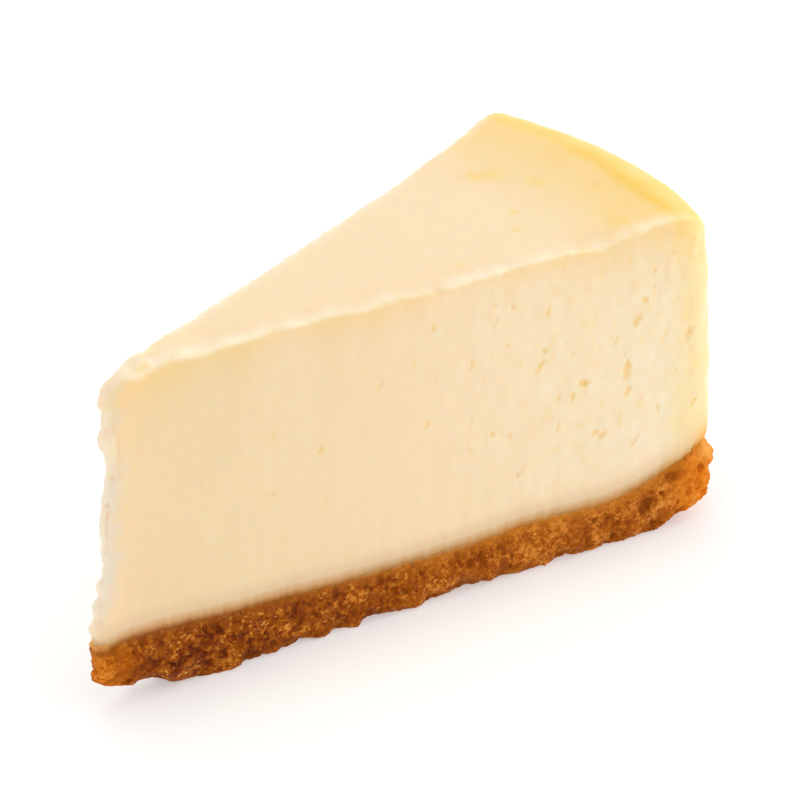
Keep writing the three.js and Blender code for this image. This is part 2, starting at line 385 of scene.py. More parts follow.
# %% Smaller faces where the detail is
def refine(piece, chosen):
    flat = np.empty(len(piece.data.loops), np.int32)
    piece.data.loops.foreach_get("vertex_index", flat)
    corners = flat.reshape(-1, 4)
    bpy.ops.object.mode_set(mode="EDIT")
    bpy.ops.mesh.select_all(action="DESELECT")
    bpy.ops.mesh.select_mode(type="FACE")
    bpy.ops.object.mode_set(mode="OBJECT")
    piece.data.polygons.foreach_set("select", chosen[corners].any(1))
    bpy.ops.object.mode_set(mode="EDIT")
    bpy.ops.mesh.subdivide(number_cuts=1)
    bpy.ops.mesh.select_all(action="SELECT")
    bpy.ops.mesh.quads_convert_to_tris()
    bpy.ops.object.mode_set(mode="OBJECT")


# %% [markdown]
# Baking leaves small bubbles in the filling, most of them near the rim, where it sets first. The
# knife opens those that it passes, and drags them a little taller. Each is a pit pressed into the
# cut, with a soft mouth. We could cut them out with booleans, but pushing the points inwards keeps
# one clean skin. The clearest ones are placed one by one, and the rest fall at random.

# %% Where the bubbles are
CLEAR_PITS = [  # reach, height, half width, half height, lean
    (78.2, 49.8, 0.45, 0.9, 0.1), (95.9, 43.5, 0.7, 0.9, 0.5), (92.0, 40.9, 0.35, 1.0, 0.7),
    (77.6, 42.3, 0.5, 0.6, 0.0), (94.2, 34.2, 0.75, 1.5, 0.1), (85.7, 34.1, 0.85, 0.6, 0.0),
    (70.4, 45.6, 0.4, 0.5, 0.0), (76.9, 39.7, 0.6, 0.8, 0.6), (83.5, 32.3, 0.5, 0.9, 0.4),
    (80.5, 27.2, 0.4, 0.7, 0.2), (88.2, 23.9, 0.6, 0.5, 0.0), (67.8, 29.4, 0.5, 0.4, 0.0),
    (71.1, 28.0, 0.45, 0.6, 0.0), (55.3, 35.0, 0.5, 0.6, 0.2), (56.9, 42.6, 0.25, 0.4, 0.3),
    (66.1, 39.7, 0.3, 0.3, 0.0), (63.7, 33.2, 0.3, 0.7, 0.1), (63.7, 27.3, 0.35, 0.9, -0.6),
    (97.3, 46.8, 0.6, 0.6, 0.0), (99.1, 52.0, 0.4, 0.5, 0.0), (106.5, 38.0, 0.6, 1.2, 0.2),
]
RANDOM_PITS = 70  # on each cut


def all_pits():
    draw = np.random.default_rng(7)
    pits = [(-1, *pit) for pit in CLEAR_PITS]
    for _ in range(2 * RANDOM_PITS):
        reach = TIN_RADIUS * (0.95 - 0.8 * draw.random() ** 1.7)
        height = LIP_TOP + (CAKE_HEIGHT - LIP_TOP - 3) * draw.random() ** 0.9
        width = 0.2 + 0.35 * draw.random() ** 2.5
        tall, lean = width * draw.uniform(1.0, 2.4), draw.uniform(-0.2, 0.7)
        pits.append((draw.choice((-1, 1)), reach, height, width, tall, lean))
    return pits


# %% Open the bubbles
PIT_DEPTH = 0.34  # as a share of the pit's half width
PIT_LIP = 0.08
MOUTH = 1.5  # the pit ends this many half widths from its middle, give or take its ragged edge


def open_bubbles(piece):
    lie = lie_of(piece)
    reach, height = lie["reach"], lie["points"][:, 2]
    ragged = 0.7 * waves(lie["points"], 0.9, 4.2)
    depth = np.zeros(len(reach))
    lifted = np.zeros(len(reach))
    for side, at, up, width, tall, lean in all_pits():
        near = (lie["side"] == side) & (np.abs(reach - at) < 4 * width) & (np.abs(height - up) < 4 * tall)
        across, above = reach[near] - at - lean * (height[near] - up), height[near] - up
        away = np.hypot(across / width, above / tall) + ragged[near]
        pit = PIT_DEPTH * width * np.clip(1 - (away / MOUTH) ** 2, 0, 1)
        depth[near] = np.maximum(depth[near], pit)
        lip = PIT_LIP * width * bell(away, MOUTH + 0.25, 0.45)
        lifted[near] = np.maximum(lifted[near], lip)
    depth *= lie["on_cut"]
    lifted *= lie["on_cut"] * (depth == 0)
    put_points(piece, lie["points"] + lie["outward"] * (lifted - depth)[:, None])
    return depth


# %% [markdown]
# The knife also lifts a thin wavy bead of skin along the top edge of each cut, and pulls the soft
# filling into faint upright streaks. At the tip the filling tore a little, which leaves soft lumps.
# All of this is low, so it can be pushed out of the surface along the normals, as a sum of waves of
# different lengths. Near the rim the filling set first and is more crumbly.

# %% The bead along the top edge
BEAD_HEIGHT = 0.5
EDGE_ROUNDING = 0.32
DENT_DEPTH = 0.12  # a shallow groove runs below the bead


def top_edge(lie):
    points, below, inside = lie["points"], lie["below_top"], lie["inside_cut"].clip(0)
    near = ease(points[:, 1], 2, -2)
    bead = bell(below, 0.5, 0.6) * bell(inside, 0, 0.8)
    bead *= 0.25 + 0.25 * ease(lie["reach"], 40, 80) * near
    bead *= 1 + near * (1.6 * plan_waves(points, 5, 2.2) + 1.1 * plan_waves(points, 2.2, 0.2))
    width = 1.1 + 0.5 * near
    rounding = bell(below.clip(0), 0, width) * bell(inside, 0, width)
    dented = bell(below, 2.2, 1.2) * lie["on_cut"] * (0.6 + 0.8 * plan_waves(points, 5, 5.1))
    return BEAD_HEIGHT * bead - DENT_DEPTH * dented - EDGE_ROUNDING * rounding


# %% The streaks and the torn lumps
TIP_LUMPS = (  # height, push outwards and half height of each torn lump or hollow at the tip
    (58.4, 1.0, 1.3), (55.8, 0.8, 1.3), (48.5, 1.4, 2.0), (39.2, -0.3, 1.8), (30, -0.45, 6.0),
    (23.2, 0.6, 1.7), (19.4, 0.8, 1.2), (15.8, 0.7, 1.0),
)


def knife_marks(lie):
    points, upright = lie["points"], lie["points"] * (1, 1, 0.06)
    crumbly = ease(lie["reach"], 25, 95)
    streaks = 0.05 * waves(upright, 1.9, 3.3) + 0.03 * waves(upright, 0.8, 8.1)
    curds = (0.05 + 0.13 * crumbly) * waves(points * (1, 1, 0.65), 2.2, 9.2)
    return 0.25 * waves(points, 11, 6.4) + curds + streaks * (0.4 + 0.6 * crumbly)


def torn_lumps(points):
    lumps = 0.4 * waves(points, 2.1, 1.7) + 0.35 * waves(points, 1.0, 2.9)
    for height, push, tall in TIP_LUMPS:
        uneven = 0.9 + 0.5 * waves(points, 2.0, height)
        lumps += push * uneven * bell(points[:, 2], height, tall)
    return lumps


# %% Carve the soft relief
def carve(piece):
    lie = lie_of(piece)
    points, tip = lie["points"], lie["at_tip"]
    leather = 0.07 * waves(points, 2.2, 7.7) + 0.12 * waves(points, 6, 4.4)
    rough = 0.12 * waves(points * (1, 1, 0.5), 1.6, 5.5) + 0.2 * waves(points, 6, 0.7)
    proud = top_edge(lie)
    proud += lie["on_cut"] * (1 - tip) * knife_marks(lie)
    proud += tip * torn_lumps(points) * ease(lie["below_top"], -0.5, 3)
    proud += lie["on_top"] * leather + lie["on_wall"] * rough
    put_points(piece, points + lie["normals"] * proud[:, None])


# %% [markdown]
# Now the filling is worked in order: smaller faces at the tip, along the top edge and round each pit,
# then the relief, and the pits last, so that they are pressed into the finished surface.

# %% Work the filling
def near_detail(piece):
    lie = lie_of(piece)
    along_edge = (lie["below_top"] < 2.6) & (lie["on_cut"] + lie["on_top"] > 0.1) & (lie["inside_cut"] < 1.6)
    chosen = (lie["at_tip"] > 0.02) | along_edge
    for side, at, up, width, tall, _ in all_pits():
        near = (lie["side"] == side) & (np.abs(lie["reach"] - at) < 2.6 * width + 0.3)
        near &= np.abs(lie["points"][:, 2] - up) < 2.2 * tall + 0.3
        chosen |= near & (lie["on_cut"] > 0.5)
    return chosen


refine(filling, near_detail(filling))
carve(filling)
pit_depth = open_bubbles(filling)
print("the filling now has", len(filling.data.polygons), "triangles")
print("the deepest pit is", round(pit_depth.max(), 2), "mm")

# %% [markdown]
# Some of what we know about each point decides its colour too: how brown the skin is, how far up
# from the crumbs it is, and how deep in a pit. We hand these to the material as attributes, which
# move with the mesh. Each runs from 0 to 1, so the material can use it as a mixing factor. The
# height above the seam is stored in the same way, as a share of a centimetre.

# %% Attributes for the materials
SEAM_LEVEL = 0.3  # the attribute "seam" has this value at the seam
SEAM_SPAN = 10.0  # and rises by 1 over this height


def put_attribute(piece, name, values):
    attribute = piece.data.attributes.new(name, "FLOAT", "POINT")
    attribute.data.foreach_set("value", np.clip(values, 0, 1).astype(np.float32))


# %% [markdown]
# The skin faced the oven, so it is the part that browned: a narrow ring just inside the rim, paler
# yellow outside it, and a few soft spots on the flat top. Along the cut's top edge the knife pulled
# some of the skin down, and the bead there is paler where it folded over and carries a painted
# highlight along the edge.

# %% Mark the skin
TOP_SPOTS = (  # along, across, half width and strength of each darker spot on the skin
    (88.9, 8.3, 2.2, 0.7), (85.7, 10.3, 2.0, 0.6), (92.4, 1.3, 1.8, 0.7), (93.3, 20.1, 2.2, 0.45),
    (81.8, -3.9, 0.8, 0.7), (77.9, -8.5, 1.1, 0.5), (94.0, -14.4, 2.6, 0.6), (91.7, -18.4, 2.4, 0.6),
    (56.8, -5.9, 0.9, 0.4), (61.9, -11.3, 0.9, 0.4), (98.5, -9.0, 2.4, 0.4), (90.5, 15.0, 2.0, 0.35),
)


def mark_skin(piece, lie):
    reach, below, points = lie["reach"], lie["below_top"], lie["points"]
    ring = reach + 0.6 * waves(points, 5, 2.6) - 2.2 * ease(points[:, 1], -10, 12)
    upper = ease(6 - below, 0, 3) * (1 - 0.6 * lie["on_cut"])
    browned = 0.3 * bell(ring, 99.5, 4) + 0.9 * bell(ring, 103.4, 1.6)
    put_attribute(piece, "browned", browned * (0.9 + 0.4 * waves(points, 6, 3.9)) * upper)
    put_attribute(piece, "rim", ease(ring, 102.5, 104.5) * upper)
    put_attribute(piece, "top", lie["on_top"])
    put_attribute(piece, "warm", lie["on_top"] * ease(ring, 78, 97))
    spots = 0
    for x, y, width, strength in TOP_SPOTS:
        away = np.hypot(points[:, 0] - x, points[:, 1] - y)
        spots += strength * bell(away, 0, width)
    spots *= lie["on_top"] * (1 + 1.6 * waves(points, 2.2, 5.2))
    corner = bell(reach, 107, 4.5) * bell(points[:, 2], 54.5, 4) * lie["on_cut"]
    put_attribute(piece, "spots", spots + corner * (0.55 + 0.9 * waves(points, 0.9, 7.3)))
    band = 1.8 + 2.2 * plan_waves(points, 5, 7.1) + 3.5 * ease(reach, 74, 100) + 3 * ease(reach, 20, 6)
    skin = np.exp(-np.maximum(below - 0.6, 0) / band.clip(0.7))
    put_attribute(piece, "skin", skin * (1 - lie["on_top"]))
    # partly painted highlight: the bead along the top edge is paler
    bead = bell(below, 0.1, 0.8) * bell(lie["inside_cut"].clip(0.3), 0.3, 1.6)
    bead *= 0.75 + 0.3 * ease(reach, 24, 8) + 0.7 * waves(points, 3.0, 1.8)
    put_attribute(piece, "bead", bead * ease(reach, 112, 96))


# %% [markdown]
# The cut shows the inside. It goes from plain cream at the tip to a crumbly, paler filling at the
# wall, which has its own warm skin; part of that paling is painted light, lighter where more light
# falls towards the wall. The torn tip is whiter, because air got into it, and it is found as the
# points that lie just behind the foremost point at each height. Pits get painted shade, a deeper yellow.

# %% Mark the cut, the tip and the wall
# a pit's colour is painted shade, deeper the deeper the pit
DEEP_PIT = 0.22  # a pit this deep takes its full colour


def behind_tip(points):
    rows = (points[:, 2] / 0.5).astype(int).clip(0)
    front = np.full(rows.max() + 1, np.inf)
    np.minimum.at(front, rows, points[:, 0])
    return points[:, 0] - front[rows]


def mark_cut(piece, lie):
    reach, points = lie["reach"], lie["points"]
    put_attribute(piece, "along", reach / TIN_RADIUS)
    put_attribute(piece, "crumbly", ease(reach, 35, 100) * lie["on_cut"])
    torn = ease(behind_tip(points) + 1.4 * waves(points, 2.5, 6.1), 3.8, -0.6) * ease(points[:, 0], 22, 12)
    put_attribute(piece, "torn", torn * (1 - 0.3 * ease(points[:, 2], 42, 47)))
    # partly painted glow: the wall and its corner are yellower, partly baked skin and partly where the side
    # light wraps round
    put_attribute(piece, "wall_skin_and_glow", ease(reach, 101, 109) * (1 + 0.8 * waves(points, 5, 2.8)))
    above = lie["above_seam"] * (1 + lie["on_wall"]) + 1.0 * ease(reach, 102, 107)
    put_attribute(piece, "seam", SEAM_LEVEL + above / SEAM_SPAN)
    # partly painted light: the stain is more golden towards the wall, where more light falls
    put_attribute(piece, "golden_and_painted_light", ease(reach, 5, 85))


filling_lie = lie_of(filling)
mark_skin(filling, filling_lie)
mark_cut(filling, filling_lie)
# painted shade in the pits
put_attribute(filling, "pit", pit_depth / DEEP_PIT)
print("the filling carries", [made.name for made in filling.data.attributes if made.data_type == "FLOAT"])

# %% [markdown]
# The filling is finished, so it is shaded smooth. Then we say what it is in the part: it rides the
# root, because nothing on a slice moves, and it takes the place of one node of the solids.

# %% Attach the filling
bpy.ops.object.select_all(action="DESELECT")
filling.select_set(True)
bpy.context.view_layer.objects.active = filling
bpy.ops.object.shade_smooth()
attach(filling, "root")
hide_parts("filling")

# %% [markdown]
# The base is biscuit crumbs and butter, pressed into the tin. We make its core as a second block,
# a little smaller than the real thing, and will then cover it with crumbs.

# %% The core of the base
CORE_INSET = 0.5
CORE_FOOT = 0.2  # the core stands this far clear of the board
OVERLAP = 0.7  # the crumbs reach this far past the seam, into the filling


def shape_core(piece):
    points, normals = points_of(piece), normals_of(piece)
    part = (points[:, 2] - points[:, 2].min()) / np.ptp(points[:, 2])
    reach = reach_of(points)
    inset = CORE_INSET * ease((1 - part) * seam(reach), 0.6, 2.2)
    points[:, :2] -= inset[:, None] * normals[:, :2]
    points[:, 2] = CORE_FOOT + part * (seam(reach) + OVERLAP - CORE_FOOT)
    put_points(piece, points)


base = cut_block("crumb_base_pressed", TIN_RADIUS, BASE_MIDDLE)
shape_core(base)
print("the core has", len(base.data.polygons), "faces")

# %% [markdown]
# One crumb is modelled and then copied thousands of times. It starts as a cube of two by two faces
# a side, is rounded a little, and is then pushed about by noise, so that it is angular and uneven,
# like broken biscuit. It has only 24 faces, which are enough for something so small.

# %% Model one crumb
def one_crumb():
    bpy.ops.object.select_all(action="DESELECT")
    bpy.ops.mesh.primitive_cube_add(size=2)
    crumb = bpy.context.object
    bpy.ops.object.mode_set(mode="EDIT")
    bpy.ops.mesh.subdivide(number_cuts=1)
    bpy.ops.transform.tosphere(value=0.6)
    bpy.ops.object.mode_set(mode="OBJECT")
    corners = np.array([vertex.co for vertex in crumb.data.vertices])
    faces = np.array([tuple(face.vertices) for face in crumb.data.polygons])
    corners *= (0.85 + 0.4 * waves(corners, 0.9, 3.1))[:, None]
    bpy.data.objects.remove(crumb)
    return corners, faces


crumb_corners, crumb_faces = one_crumb()
print("one crumb has", len(crumb_faces), "faces")

# %% [markdown]
# Most crumbs are small and a few are large. Each sits at a random place along the plan and below the
# seam, with a little of it proud of the side, and more of them lie on the board along the foot. Near
# the seam the knife flattened the crumbs, so there they sit flush, most of all at the lip.

# %% Scatter the crumbs
SIDE_CRUMBS = 9000
FOOT_CRUMBS = 1200
LARGEST_CRUMB = 1.2  # from its middle to its side
SMALLEST_CRUMB = 0.22
SMEARED = 1.8  # the knife flattens the crumbs this far below the seam
SMEARED_LIP = 2.6  # and this much further down at the lip


def along_plan(draw, count):
    plan = slice_plan(TIN_RADIUS)
    steps = np.roll(plan, -1, axis=0) - plan
    lengths = np.hypot(*steps.T)
    chosen = draw.choice(len(plan), count, p=lengths / lengths.sum())
    outward = np.stack([steps[:, 1], -steps[:, 0]], 1) / lengths[:, None]
    return plan[chosen] + draw.random((count, 1)) * steps[chosen], outward[chosen]


def scatter():
    draw = np.random.default_rng(11)
    count = SIDE_CRUMBS + FOOT_CRUMBS
    size = SMALLEST_CRUMB * (LARGEST_CRUMB / SMALLEST_CRUMB) ** (draw.random(count) ** 1.8)
    places, outward = along_plan(draw, count)
    room = seam(np.hypot(*places.T))
    z = size + draw.random(count) * np.maximum(room - 2 * size, 0.3)
    z[SIDE_CRUMBS:] = (size * draw.uniform(0.4, 1.0, count))[SIDE_CRUMBS:]
    centres = np.column_stack([places, z])
    smeared_height = SMEARED + SMEARED_LIP * ease(places[:, 0], 103, 109)
    smeared = ease(room - z, smeared_height, smeared_height / 3)
    proud = (0.1 + 0.4 * draw.random(count) ** 2) * (1 - smeared) * (1 + 0.5 * ease(places[:, 0], 104, 112))
    centres[:, :2] -= (size - proud)[:, None] * outward
    return centres, size, draw


crumb_centres, crumb_sizes, crumb_draw = scatter()
smallest, largest = round(2 * crumb_sizes.min(), 1), round(2 * crumb_sizes.max(), 1)
print(len(crumb_sizes), "crumbs, from", smallest, "to", largest, "mm")

# %% [markdown]
# The copies differ in size, stretch and turn. An even choice among all turns is a random quaternion,
# written out here as a matrix. All copies are one mesh, because instances would be lost when the
# model is exported, and because building 10,200 objects one by one would take far too long.

# %% Copy the crumb
def turned(draw, count):
    a, b, c, d = draw.normal(size=(4, count))
    length = np.sqrt(a * a + b * b + c * c + d * d)
    a, b, c, d = a / length, b / length, c / length, d / length
    return np.array([
        [1 - 2 * (c * c + d * d), 2 * (b * c - a * d), 2 * (b * d + a * c)],
        [2 * (b * c + a * d), 1 - 2 * (b * b + d * d), 2 * (c * d - a * b)],
        [2 * (b * d - a * c), 2 * (c * d + a * b), 1 - 2 * (b * b + c * c)],
    ]).transpose(2, 0, 1)


def crumbs_mesh(centres, size, draw):
    count = len(size)
    stretch = size[:, None] * draw.uniform(0.75, 1.2, (count, 3))
    copies = crumb_corners[None] * stretch[:, None]
    copies = np.einsum("nij,nkj->nki", turned(draw, count), copies) + centres[:, None]
    faces = crumb_faces[None] + (len(crumb_corners) * np.arange(count))[:, None, None]
    mesh = bpy.data.meshes.new("crumbs")
    corners = (copies.reshape(-1, 3) + (AXIS_X, 0, 0)) * MM
    mesh.from_pydata(corners.tolist(), [], faces.reshape(-1, 4).tolist())
    crumbs = bpy.data.objects.new("crumbs", mesh)
    bpy.context.collection.objects.link(crumbs)
    return crumbs


crumbs = crumbs_mesh(crumb_centres, crumb_sizes, crumb_draw)
print("the crumbs have", len(crumbs.data.polygons), "faces in all")

# %% [markdown]
# The crumbs and the core are joined, and one remesh fuses them, as butter does in the real base.
# Its voxels are small, because a crumb would be lost in one that is larger than itself.

# %% Fuse the crumbs to the core
BASE_VOXEL = 0.31


def fuse(piece, other):
    bpy.ops.object.select_all(action="DESELECT")
    other.select_set(True)
    piece.select_set(True)
    bpy.context.view_layer.objects.active = piece
    bpy.ops.object.join()
    remesh(piece, BASE_VOXEL)


fuse(base, crumbs)
print("the fused base has", len(base.data.polygons), "faces")

# %% [markdown]
# Then the outer foot is drawn in and so is the top of the lip, the foot of each cut loses crumbs in
# some places more than in others, the tip takes the filling's shape, and the board keeps the
# underside flat. This comes after the remesh, so that the crumbs on a worn place are worn too.

# %% The base's form
FOOT_ROUND = 8.5  # the outer foot is rounded up to this height
FOOT_DEPTH = 6  # and drawn in this far at the board
FOOT_WEAR = 1.1  # the foot of each cut has lost this much
FOOT_WEAR_HEIGHT = 4
LIP_DRAWN_IN = 2.2  # the lip's top leans in this far
LIP_NARROWED = 0.005  # and is narrower by this share for each millimetre
TOE = 1.8  # the very tip of the foot is blunted this far
DENTS = (  # reach, half width and depth of each place where the foot of the near cut has crumbled
    (7.6, 2.4, 3.2), (14.8, 2, 1.2), (20.6, 2, -1.0), (28.5, 2, -0.3), (33.3, 1.5, 1.0), (36.2, 1.5, -0.8),
    (39.5, 1.5, 0.6), (42, 1.5, -1.2), (46, 2.5, 1.0), (53.7, 2, -0.8), (57, 2, 0.4), (64.5, 4, 1.5),
    (71, 1.5, 0.7), (83, 1.7, 1.0), (92, 1.5, 0.5), (111.5, 3.5, 4.2),
)


def draw_in(points, reach):
    low = np.clip(1 - points[:, 2] / FOOT_ROUND, 0, 1)
    drawn = FOOT_DEPTH * low ** 2 * ease(reach, 100, 112) / reach.clip(1)
    points[:, :2] *= (1 - drawn)[:, None]
    lean = LIP_DRAWN_IN * ease(points[:, 2], 11, 15.5) * ease(reach, 104, 113)
    points[:, 0] -= lean
    points[:, 1] *= 1 - LIP_NARROWED * lean


def wear_cuts(points, reach):
    near = FOOT_WEAR + sum(depth * bell(reach, at, width) for at, width, depth in DENTS)
    far = FOOT_WEAR + 1.5 * plan_waves(points, 8, 12.5)
    chipped = np.where(points[:, 1] < 0, near, far)
    low = np.clip(1 - points[:, 2] / FOOT_WEAR_HEIGHT, 0, 1)
    chipped *= low ** 2 * bell(depth_in_cut(points).clip(0), 0, 3)
    points[:, 1] -= np.sign(points[:, 1]) * chipped * ease(reach, 2, 8)


def shape_base(piece):
    points = points_of(piece)
    reach = reach_of(points)
    draw_in(points, reach)
    wear_cuts(points, reach)
    points = shape_tip(points)
    part = np.clip(points[:, 2] / seam(reach), 0, 1)
    worn = (TIP_WEAR + 0.45 * np.maximum(-points[:, 0], 0)) * ease(points[:, 0], 9.5, 3.5)
    points[:, 2] = np.maximum(points[:, 2], 0) + (1 - part) * worn
    points[:, 0] += TOE * (1 - part) ** 3 * ease(points[:, 0], 4, -5)
    put_points(piece, points)


shape_base(base)
print("the base is", np.ptp(points_of(base), axis=0).round(1).tolist(), "mm")

# %% [markdown]
# Loose scraps that touch nothing are removed, as a real crumb would fall off. The remesh also leaves
# small faces where nobody looks: under the filling, and on the flat underside. A decimate that acts
# most where its vertex group is strongest takes a third of all the faces away, nearly all of them there.

# %% Drop the scraps
def drop_scraps(piece):
    bpy.ops.object.select_all(action="DESELECT")
    piece.select_set(True)
    bpy.context.view_layer.objects.active = piece
    bpy.ops.mesh.separate(type="LOOSE")
    pieces = sorted(bpy.context.selected_objects, key=lambda part: len(part.data.vertices))
    for scrap in pieces[:-1]:
        bpy.data.objects.remove(scrap)
    return pieces[-1], len(pieces) - 1


base, scraps = drop_scraps(base)
print(scraps, "scraps dropped")

# %% Lighten the base
KEPT_FACES = 0.66  # the share of faces that stays


def lighten(piece, weight, ratio):
    group = piece.vertex_groups.new(name="hidden")
    for level in (0.5, 1.0):
        chosen = np.flatnonzero(weight >= level).tolist()
        group.add(chosen, level, "REPLACE")
    bpy.context.view_layer.objects.active = piece
    modifier = piece.modifiers.new("fewer faces", "DECIMATE")
    modifier.ratio = ratio
    modifier.vertex_group = group.name
    modifier.use_collapse_triangulate = True
    bpy.ops.object.modifier_apply(modifier=modifier.name)
    piece.vertex_groups.clear()


def depth_in_base(points):
    return np.minimum(depth_in_cut(points), TIN_RADIUS - reach_of(points))


def out_of_sight(points):
    inside = depth_in_base(points)
    covered = (seam(reach_of(points)) - points[:, 2] < 0.6) & (inside > 1.6)
    underneath = (points[:, 2] < 0.35) & (inside > 4)
    return np.where(covered, 1.0, np.where(underneath, 0.5, 0.0))


lighten(base, out_of_sight(points_of(base)), KEPT_FACES)
print("the base now has", len(base.data.polygons), "triangles")

# %% [markdown]
# Biscuit breaks into grains, and some large crumbs have fallen out of the cut and left hollows. A
# remesh would round the grains off, so they are added after it, as a push along the normals. They
# nearly vanish where the knife smeared the crumbs, and are lower at the pointed end.

# %% Roughen the base
def grain(piece):
    points, normals = points_of(piece), normals_of(piece)
    smeared = ease(seam(reach_of(points)) - points[:, 2], SMEARED, SMEARED / 3)
    fine = 0.14 * waves(points, 0.6, 2.6) + 0.2 * waves(points, 1.3, 3.6) + 0.7 * waves(points, 3.8, 1.9)
    hollowed = ease(points[:, 0], 8, 16) * (1 - 0.5 * ease(points[:, 0], 98, 106))
    fine -= 0.55 * hollowed * ease(waves(points, 2.6, 6.6), 0.25, 0.55)
    fine *= (1 - 0.85 * smeared) * (1 - 0.5 * ease(points[:, 0], 10, 2))
    points += normals * (fine * ease(points[:, 2], 0.1, 0.8))[:, None]
    points[:, 2] = np.maximum(points[:, 2], 0)
    put_points(piece, points)


grain(base)
print("the grains are in; the base is", round(points_of(base)[:, 2].max(), 1), "mm high at its lip")

# %% [markdown]
# Each crumb browned a little differently. So each point takes a random tone from the crumb nearest
# to it, which a k-d tree finds fast. Points deep between crumbs get painted shade. Both ends of the
# base, at the wall and at the tip, carry a painted glow where the side lights fall, and at the wall
# the crumbs are also toasted from the tin. The whole base grows lighter towards the wall, partly as
# painted light. The top of the lip, which was thin and stood free, is the most golden and has the
# most painted glow, and the foot has painted light from the table below.

# %% Mark the base
def crumb_tones(points):
    tree = kdtree.KDTree(len(crumb_centres))
    for index, centre in enumerate(crumb_centres):
        tree.insert(centre, index)
    tree.balance()
    nearest = np.array([tree.find(point)[1] for point in points])
    return np.random.default_rng(5).random(len(crumb_centres))[nearest]


def mark_base(piece):
    points, normals = points_of(piece), normals_of(piece)
    reach = reach_of(points)
    put_attribute(piece, "tone", crumb_tones(points))
    # painted shade: the deeper a point lies between the crumbs, the darker it is painted
    put_attribute(piece, "painted_hollow_shade", (depth_in_base(points) + 0.15) / 1.1)
    out_of_wall = (normals[:, :2] * points[:, :2]).sum(1) / reach.clip(1)
    on_wall = ease(out_of_wall, 0.3, 0.8) * ease(reach, 108, 112) * ease(points[:, 1], -25, -17)
    above = (points[:, 2] - seam(reach)) * (1 + 2 * on_wall)
    put_attribute(piece, "seam", SEAM_LEVEL + above / SEAM_SPAN)
    # partly painted light: the crumbs are lighter and more golden towards the wall, where more light falls
    put_attribute(piece, "golden_and_painted_light", ease(reach, 5, 85))
    # painted glow at both ends, where the side lights fall; at the wall also crumbs toasted from the tin
    uneven = 2.2 * waves(points, 2.5, 8.8)
    at_wall = ease(reach + uneven, 101, 113) * (1 - 0.35 * on_wall)
    put_attribute(piece, "toasted_and_painted_glow", np.maximum(at_wall, 0.45 * ease(uneven - points[:, 0], -4, 4)))
    # partly painted glow: the lip's top is lighter and more golden where the side light falls on it
    put_attribute(piece, "lip", ease(reach, 108, 112) * ease(points[:, 2], 9.5, 14) * (1 - 0.6 * on_wall))
    # painted light: the lowest millimetre of the base is lighter, as if lit from the table below
    put_attribute(piece, "painted_foot_light", np.exp(-points[:, 2] / 1.2))


mark_base(base)
print("the base carries", [made.name for made in base.data.attributes if made.data_type == "FLOAT"])

# %% [markdown]
# The base is finished too, and is attached as the filling was.

# %% Attach the base
bpy.ops.object.select_all(action="DESELECT")
base.select_set(True)
bpy.context.view_layer.objects.active = base
bpy.ops.object.shade_smooth()
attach(base, "root")
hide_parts("crumb_base")

# %% [markdown]
# Materials are node trees. Colours are given as sRGB hex values, which one function turns
# to the linear values that the renderer uses. A second function adds a node, sets it and links it,
# and returns its output, so that a tree reads like a sum. A third gives a piece an empty material.
# Each pattern is as coarse as something real: a noise whose scale is one over a size changes about
# once in that size.

# %% Helpers for materials
def linear(colour):
    channels = [int(colour[i:i + 2], 16) / 255 for i in (1, 3, 5)]
    return (*[c / 12.92 if c <= 0.04045 else ((c + 0.055) / 1.055) ** 2.4 for c in channels], 1)


def add(tree, kind, inputs, output=None, **settings):
    made = tree.nodes.new("ShaderNode" + kind)
    for name, value in settings.items():
        setattr(made, name, value)
    for key, value in inputs.items():
        at = key if isinstance(key, int) else [s.enabled and s.name == key for s in made.inputs].index(True)
        if isinstance(value, bpy.types.NodeSocket):
            tree.links.new(value, made.inputs[at])
        else:
            made.inputs[at].default_value = linear(value) if isinstance(value, str) else value
    return made.outputs[output] if output else next((s for s in made.outputs if s.enabled), None)


def new_tree(piece, name):
    material = bpy.data.materials.new(name)
    material.use_nodes = True
    material.node_tree.nodes.clear()
    piece.data.materials.clear()
    piece.data.materials.append(material)
    return material.node_tree


# %% [markdown]
# Baked cream-cheese custard is dense, smooth and slightly translucent. Light goes a few
# millimetres into it, so shadows are soft and warm. A pit is given painted shade, a deeper yellow
# and not dark. It is palest and most crumbly near the wall, where it set first, and part of that
# paling is painted light. Its pattern is a mottle of small curds, faint upright smears from the
# knife, and wide clouds.

# %% The patterns in the filling
CURD = 2.1
SMEAR = 1.1
CLOUD = 13.5
PORE = 0.5  # real pores are finer still, and would not show
custard = new_tree(filling, "baked_cream_cheese_custard")
place = add(custard, "TexCoord", {}, "Object")
drawn = add(custard, "Mapping", {"Vector": place, "Scale": (1, 1, 0.75)})
upright = add(custard, "Mapping", {"Vector": place, "Scale": (1, 1, 0.07)})
clouds = add(custard, "TexNoise", {"Vector": place, "Scale": 1 / (CLOUD * MM), "Detail": 1.0})
mottle = add(custard, "TexNoise", {
    "Vector": drawn, "Scale": 1 / (CURD * MM), "Detail": 2.0, "Roughness": 0.55,
})
smears = add(custard, "TexNoise", {"Vector": upright, "Scale": 1 / (SMEAR * MM), "Detail": 2.0})
crumbly = add(custard, "Attribute", {}, "Fac", attribute_name="crumbly")
pale = add(custard, "MapRange", {"Value": mottle, "From Min": 0.52, "From Max": 0.72})
pale = add(custard, "Math", {0: pale, 1: crumbly}, operation="MULTIPLY")
deep = add(custard, "MapRange", {"Value": mottle, "From Min": 0.44, "From Max": 0.3})
deep = add(custard, "Math", {0: deep, 1: crumbly}, operation="MULTIPLY")
print("curds of", CURD, "mm, smears of", SMEAR, "mm and clouds of", CLOUD, "mm")

